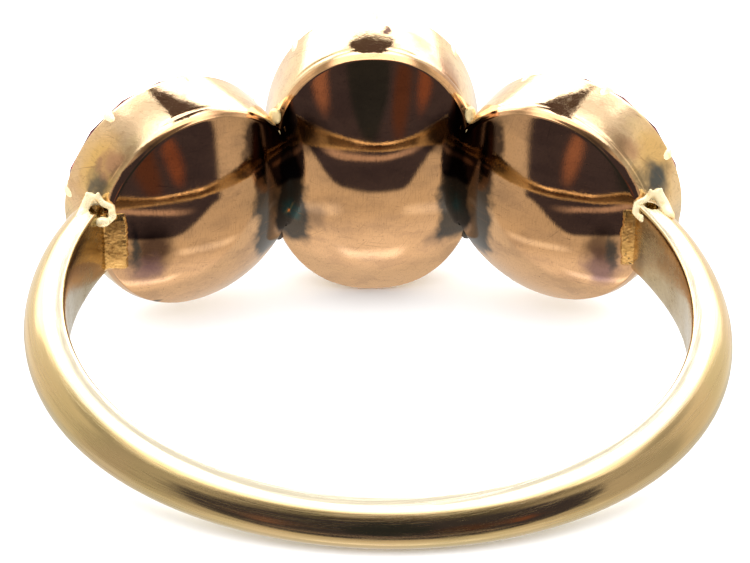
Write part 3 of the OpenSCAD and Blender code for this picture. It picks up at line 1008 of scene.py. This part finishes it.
def claw_tree(name, collet):
    """Claws round one collet: each is a ridge up the wall that turns in over the stone's edge."""
    walls = settings().walls
    inputs = {
        "Claws": walls.claws,
        "First angle": collet.first_claw,
        "Half width": collet.half_width + walls.flare,
        "Half height": collet.half_height + walls.flare,
        "Squareness": collet.squareness,
        "Rim": collet.depth,
        "Claw radius": walls.claw_radius,
        "Proud": walls.claw_proud,
    }
    tree, nodes, given = new_geometry_tree(name, inputs)
    ring = nodes.fill(nodes.add("GeometryNodeMeshLine", mode="OFFSET"), {"Count": given["Claws"]})
    index = nodes.add("GeometryNodeInputIndex").outputs[0]
    turn = nodes.times(nodes.math("DIVIDE", index, given["Claws"]), math.tau)
    angle = nodes.plus(turn, given["First angle"])
    power = nodes.math("DIVIDE", 2.0, given["Squareness"])
    sides = []
    for function, size in (("COSINE", "Half width"), ("SINE", "Half height")):
        value = nodes.math(function, angle)
        signed = nodes.times(nodes.math("POWER", nodes.absolute(value), power), nodes.math("SIGN", value))
        sides.append(nodes.times(signed, given[size]))
    feet = moved(nodes, ring, sides[0], given["Rim"], sides[1])
    bar, x, y, z = bar_of(nodes, 16, 18, 1.0)
    up = nodes.plus(z, 0.5)
    rounded = nodes.math("POWER", nodes.absolute(nodes.times(z, 2.0)), 6.0)
    fat = nodes.times(nodes.math("SQRT", nodes.minus(1.04, rounded)), given["Claw radius"])
    fat = nodes.times(fat, nodes.math("MULTIPLY_ADD", up, CLAW_TAPER, 1.0))
    sunk = nodes.math("POWER", nodes.math("MAXIMUM", nodes.minus(0.7, up), 0.0), 2.0)
    turned = nodes.math("POWER", nodes.math("MAXIMUM", nodes.minus(up, 0.5), 0.0), 2.0)
    out = nodes.minus(given["Proud"], given["Claw radius"])
    out = nodes.minus(nodes.minus(out, nodes.times(sunk, CLAW_SINK)), nodes.times(turned, CLAW_TURN_IN))
    out = nodes.math("MULTIPLY_ADD", x, fat, out)
    depth = nodes.math("MULTIPLY_ADD", up, CLAW_LENGTH, CLAW_START)
    claw = moved(nodes, bar, out, depth, nodes.times(y, fat))
    foot = nodes.split(nodes.add("GeometryNodeInputPosition").outputs[0])
    slopes = []
    for place, size in ((foot[2], "Half height"), (foot[0], "Half width")):
        slopes.append(nodes.math("DIVIDE", place, nodes.math("POWER", given[size], 2.0)))
    facing = nodes.join(0.0, nodes.times(nodes.math("ARCTAN2", *slopes), -1.0), 0.0)
    claws = nodes.add("GeometryNodeInstanceOnPoints")
    claws = nodes.fill(claws, {"Points": feet, "Instance": claw, "Rotation": facing})
    end_geometry_tree(nodes, claws, material("lip_gold"))
    return tree, inputs


class RING_OT_claws(bpy.types.Operator):
    """Make the filed claws round each collet."""

    bl_idname = "ring.claws"
    bl_label = "Claws"

    def execute(self, context):
        for name, collet in collets().items():
            tree, inputs = claw_tree(f"claws_of_{name}", collet)
            placed = rest_matrix() @ collet_matrix(collet)
            hand_over(grown(f"claws_{name}", tree, inputs, placed, material("lip_gold")))
        return {"FINISHED"}


def lap_point(collet, side, u, v, lift):
    """A point of a lap: u runs out to its end and v along it, at a height over the plate's face."""
    z = LAP_WIDTH * v
    wave = 0.05 * noise.noise(Vector((z * 2.5, side * 7.0, 1.0)))
    wave += 0.03 * noise.noise(Vector((z * 9.0, side * 4.0, 3.0)))
    x = collet.half_width - LAP_LENGTH * (1 - u) - wave * (1 - u)
    share = min(1.0, math.hypot(x / collet.half_width, z / collet.half_height))
    border = min(u * 5 + 0.25, 1.0) * min((0.5 - abs(v)) * 12 + 0.1, 1.0)
    pits = 0.016 * noise.noise(Vector((x * 3, z * 3, side * 3.0)))
    pits += 0.01 * noise.noise(Vector((x * 14, z * 14, side * 5.0)))
    top = lift if lift < 0 else (lift + pits) * border - 0.02 * (1 - border)
    return side * x, -collet.dome * (1 - share * share) - top, z


def make_lap(name, collet, side):
    """The pitted lap of solder over the outer end of a side collet's back."""
    across_steps, along_steps = LAP_STEPS
    bm = bmesh.new()
    layers = []
    for lift in (LAP_ROOT, LAP_THICKNESS):
        grid = []
        for i in range(across_steps + 1):
            row = []
            for j in range(along_steps + 1):
                point = lap_point(collet, side, i / across_steps, j / along_steps - 0.5, lift)
                row.append(bm.verts.new(point))
            grid.append(row)
        layers.append(grid)
    close_slab(bm, layers)
    hand_over(object_from(name, bm, rest_matrix() @ collet_matrix(collet), material("solder_gold")))


def close_slab(bm, layers):
    """Faces of a slab between two equal grids of points."""
    for grid in layers:
        for row, after in zip(grid, grid[1:]):
            for j in range(len(row) - 1):
                bm.faces.new((row[j], row[j + 1], after[j + 1], after[j]))
    low, high = layers
    rim = [(0, j) for j in range(len(low[0]))]
    rim += [(i, len(low[0]) - 1) for i in range(1, len(low))]
    rim += [(len(low) - 1, j) for j in range(len(low[0]) - 2, -1, -1)]
    rim += [(i, 0) for i in range(len(low) - 2, 0, -1)]
    for (i, j), (k, m) in zip(rim, rim[1:] + rim[:1]):
        bm.faces.new((low[i][j], low[k][m], high[k][m], high[i][j]))


def add_bead(bm, centre, radii, subdivisions=3):
    made = bmesh.ops.create_icosphere(bm, subdivisions=subdivisions, radius=1.0)
    for vert in made["verts"]:
        vert.co = Vector(centre) + Vector(c * r for c, r in zip(vert.co, radii))


def add_ridge(bm, points, radius):
    """Overlapping beads along a line through points."""
    for start, end in zip(points, points[1:]):
        start, end = Vector(start), Vector(end)
        count = max(2, math.ceil((end - start).length / (radius * 0.4)))
        for k in range(count + 1):
            add_bead(bm, start.lerp(end, k / count), (radius, radius, radius), 2)


def make_melted(name, bm, voxel, wave, pits, finish, seed):
    """Overlapping beads melted into one uneven solid of solder."""
    made = new_object(name, mesh_from(name, bm))
    remesh = made.modifiers.new("melt", "REMESH")
    remesh.mode = "VOXEL"
    remesh.voxel_size = voxel
    made.modifiers.new("smooth", "SMOOTH").iterations = 10
    bm = bmesh.new()
    bm.from_mesh(plain_mesh(made))
    bm.normal_update()
    for vert in bm.verts:
        away = wave * noise.noise(vert.co * 3.0 + Vector((seed, 0, 0)))
        away += pits * noise.noise(vert.co * 11.0 + Vector((0, seed, 0)))
        vert.co += vert.normal * away
    bpy.data.objects.remove(made)
    hand_over(object_from(name, bm, rest_matrix(), finish))


class RING_OT_solder(bpy.types.Operator):
    """Make the laps and lips at the shoulders and the solder in the creases."""

    bl_idname = "ring.solder"
    bl_label = "Solder"

    def execute(self, context):
        for name, side in SIDES.items():
            make_lap(f"lap_{name}", collets()[name], side)
            bm = bmesh.new()
            for x, y, z, *radii in CREASE_BEADS:
                add_bead(bm, (side * x, y, z), radii, 4)
            make_melted(f"solder_{name}", bm, 0.04, 0.03, 0.01, material("bright_solder"), side * 3)
            bm = bmesh.new()
            for points, radius in SHOULDER_LIPS:
                add_ridge(bm, [(side * x, y, z) for x, y, z in points], radius)
            for x, y, z, *radii in SHOULDER_BEADS:
                add_bead(bm, (side * x, y, z), radii)
            make_melted(f"lips_{name}", bm, 0.03, 0.03, 0.0, material("lip_gold"), side * 5)
        return {"FINISHED"}


class RING_OT_stones(bpy.types.Operator):
    """Give the three cut stones their polish."""

    bl_idname = "ring.stones"
    bl_label = "Stones"

    def execute(self, context):
        for name in STONES:
            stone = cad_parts[name]
            stone.data.materials.clear()
            stone.data.materials.append(material("garnet"))
        return {"FINISHED"}


def surroundings(nodes, x, y, z):
    """What the metal mirrors each way: bright sides, table and white field, and a dark room."""
    behind = nodes.times(y, -1.0)
    azimuth = nodes.degrees(x, behind)
    far = nodes.degrees(x, y)
    elevation = nodes.math("DEGREES", nodes.math("ARCSINE", z))
    aside = nodes.absolute(azimuth)
    over = nodes.degrees(z, behind)

    sides = nodes.mix(nodes.step(aside, 60, 100), NEAR_SIDE, FAR_SIDE)
    low = nodes.times(nodes.step(aside, 90, 103), nodes.step(elevation, 28, 38, 1.0, 0.0))
    sides = nodes.mix(low, sides, LOW_SIDE)
    sides = nodes.mix(nodes.step(aside, 105, 145), sides, BACK_SIDE)

    under = nodes.mix(nodes.step(elevation, -62, -38), TABLE_NEAR, TABLE_EDGE)
    under = nodes.mix(nodes.step(aside, 95, 150), under, TABLE_BACK)
    under = nodes.mix(nodes.step(over, -84, -76), TABLE_UNDER, under)
    arc = nodes.times(nodes.slab(over, -73.5, -68.5, 2.5), nodes.step(aside, 32, 46, 1.0, 0.0))
    under = nodes.lay(under, NEAR_ARC, arc, 0.85)
    arc = nodes.times(nodes.slab(elevation, -44, -39, 2.0), nodes.slab(aside, 30, 76, 7.0))
    under = nodes.lay(under, SIDE_ARC, arc, 0.5)

    seen = nodes.mix(nodes.step(elevation, -36, -24), under, sides)
    whites = nodes.times(nodes.slab(far, -46, 46, 4.0), nodes.slab(elevation, 6, 39, 5.0))
    seen = nodes.mix(whites, seen, WHITE_FIELD)
    top = OVERHEAD[0]
    for tint, limits in zip(OVERHEAD[1:], ((60, 84), (84, 92), (102, 116))):
        top = nodes.mix(nodes.step(over, *limits), top, tint)
    seen = nodes.mix(nodes.step(elevation, 44, 62), seen, top)

    edge = nodes.plus(nodes.step(elevation, -2, 18, 57.5, 63.5), nodes.step(elevation, 25, 45, 0.0, 12.0))
    inside = nodes.step(nodes.minus(aside, edge), -0.8, 0.8, 1.0, 0.0)
    floor_line = nodes.step(aside, 24, 56, -29.5, -12.0)
    rising = nodes.step(nodes.minus(elevation, floor_line), -1.5, 1.5)
    room = nodes.times(nodes.times(inside, rising), nodes.step(over, 58, 66, 1.0, 0.0))
    seen = nodes.mix(room, seen, DARK_ROOM)
    ledge = nodes.times(nodes.slab(elevation, -13.8, -10.8, 1.0), nodes.step(aside, 26, 42, 1.0, 0.0))
    seen = nodes.mix(ledge, seen, ROOM_LEDGE)
    for tint, middle, height, wide, high, soft in ROOM_PATCHES:
        u = nodes.math("DIVIDE", nodes.minus(azimuth, middle), wide)
        v = nodes.math("DIVIDE", nodes.minus(elevation, height), high)
        away = nodes.math("SQRT", nodes.plus(nodes.times(u, u), nodes.times(v, v)))
        seen = nodes.mix(nodes.step(away, 1 - soft, 1 + soft, 1.0, 0.0), seen, tint)
    card = nodes.times(nodes.slab(far, -17, 17, 1.5), nodes.slab(elevation, 36.5, 69, 1.5))
    return nodes.mix(card, seen, FAR_CARD)


def light_studio(studio):
    """Plain soft light from all round, and for mirrored rays the surroundings that polished metal shows."""
    world = bpy.data.worlds.new("studio")
    bpy.context.scene.world = world
    world.use_nodes = True
    world.node_tree.nodes.clear()
    world.cycles.sampling_method = "NONE"
    nodes = Nodes(world.node_tree)
    upright = nodes.fill(
        nodes.add("ShaderNodeVectorRotate", rotation_type="X_AXIS"),
        {"Vector": nodes.coordinates("Generated"), "Angle": -rest_matrix().to_euler().x},
    )
    seen = surroundings(nodes, *nodes.split(upright))
    mirrored = nodes.fill(nodes.add("ShaderNodeBackground"), {"Color": seen, "Strength": studio.gloss})
    plain = nodes.add("ShaderNodeBackground")
    plain = nodes.fill(plain, {"Color": (1, 1, 1, 1), "Strength": studio.light})
    choice = nodes.add("ShaderNodeMixShader")
    glossy = nodes.add("ShaderNodeLightPath").outputs["Is Glossy Ray"]
    for socket, value in zip(choice.inputs, (glossy, plain, mirrored)):
        nodes.link(value, socket)
    nodes.link(choice.outputs[0], nodes.add("ShaderNodeOutputWorld").inputs["Surface"])


def add_floor(studio):
    """The pale floor, which the metal doesn't mirror."""
    mesh = bpy.data.meshes.new("floor")
    corners = [(FLOOR_REACH * x, FLOOR_REACH * y, 0) for x, y in ((-1, -1), (1, -1), (1, 1), (-1, 1))]
    mesh.from_pydata(corners, [], [(0, 1, 2, 3)])
    floor = new_object("floor", mesh)
    finish = bpy.data.materials.new("pale_floor")
    finish.use_nodes = True
    shader = finish.node_tree.nodes["Principled BSDF"]
    shader.inputs["Base Color"].default_value = (*studio.floor, 1)
    shader.inputs["Roughness"].default_value = 0.9
    shader.inputs["Specular IOR Level"].default_value = 0.0
    mesh.materials.append(finish)
    floor.visible_glossy = False


def add_camera():
    """The camera that took the photograph, carried over to the way that the ring lies."""
    camera = bpy.data.cameras.new("camera")
    camera.sensor_fit = "HORIZONTAL"
    camera.sensor_width = SENSOR_WIDTH
    camera.lens = SENSOR_WIDTH * FOCAL_PIXELS / PHOTO_WIDTH
    camera.clip_start = 0.001
    camera.clip_end = 10.0
    stand = new_object("camera", camera)
    right = CAMERA_RIGHT.normalized()
    forward = CAMERA_FORWARD.normalized()
    up = right.cross(forward).normalized()
    turned = Matrix((right, up, -forward)).transposed().to_4x4()
    placed = rest_matrix() @ Matrix.Translation(CAMERA_PLACE) @ turned
    stand.matrix_world = Matrix.LocRotScale(placed.to_translation(), placed.to_quaternion(), None)
    bpy.context.scene.camera = stand


class RING_OT_studio(bpy.types.Operator):
    """Set up the pale floor, the soft light and the camera."""

    bl_idname = "ring.studio"
    bl_label = "Studio"

    def execute(self, context):
        studio = settings().studio
        add_floor(studio)
        light_studio(studio)
        add_camera()
        context.scene.view_settings.view_transform = "Standard"
        return {"FINISHED"}


class RING_PT_panel(bpy.types.Panel):
    """Buttons that make the ring."""

    bl_idname = "RING_PT_panel"
    bl_label = "Three-stone ring"
    bl_space_type = "VIEW_3D"
    bl_region_type = "UI"
    bl_category = "Ring"

    def draw(self, context):
        for operator in OPERATORS:
            self.layout.operator(operator.bl_idname)


OPERATORS = (RING_OT_studio, RING_OT_band, RING_OT_collets, RING_OT_claws, RING_OT_solder, RING_OT_stones)
SIZES = (BandSizes, ColletSizes, WallSizes, MetalColours, StoneColours, StudioSettings)
CLASSES = (*SIZES, RingSettings, *OPERATORS, RING_PT_panel)


def register():
    for made in CLASSES:
        bpy.utils.register_class(made)
    bpy.types.Scene.three_stone_ring = PointerProperty(type=RingSettings)


def unregister():
    del bpy.types.Scene.three_stone_ring
    for made in reversed(CLASSES):
        bpy.utils.unregister_class(made)


def main():
    register()
    set_collet_sizes()
    for operator in OPERATORS:
        group, name = operator.bl_idname.split(".")
        getattr(getattr(bpy.ops, group), name)()


if __name__ == "__main__":
    main()
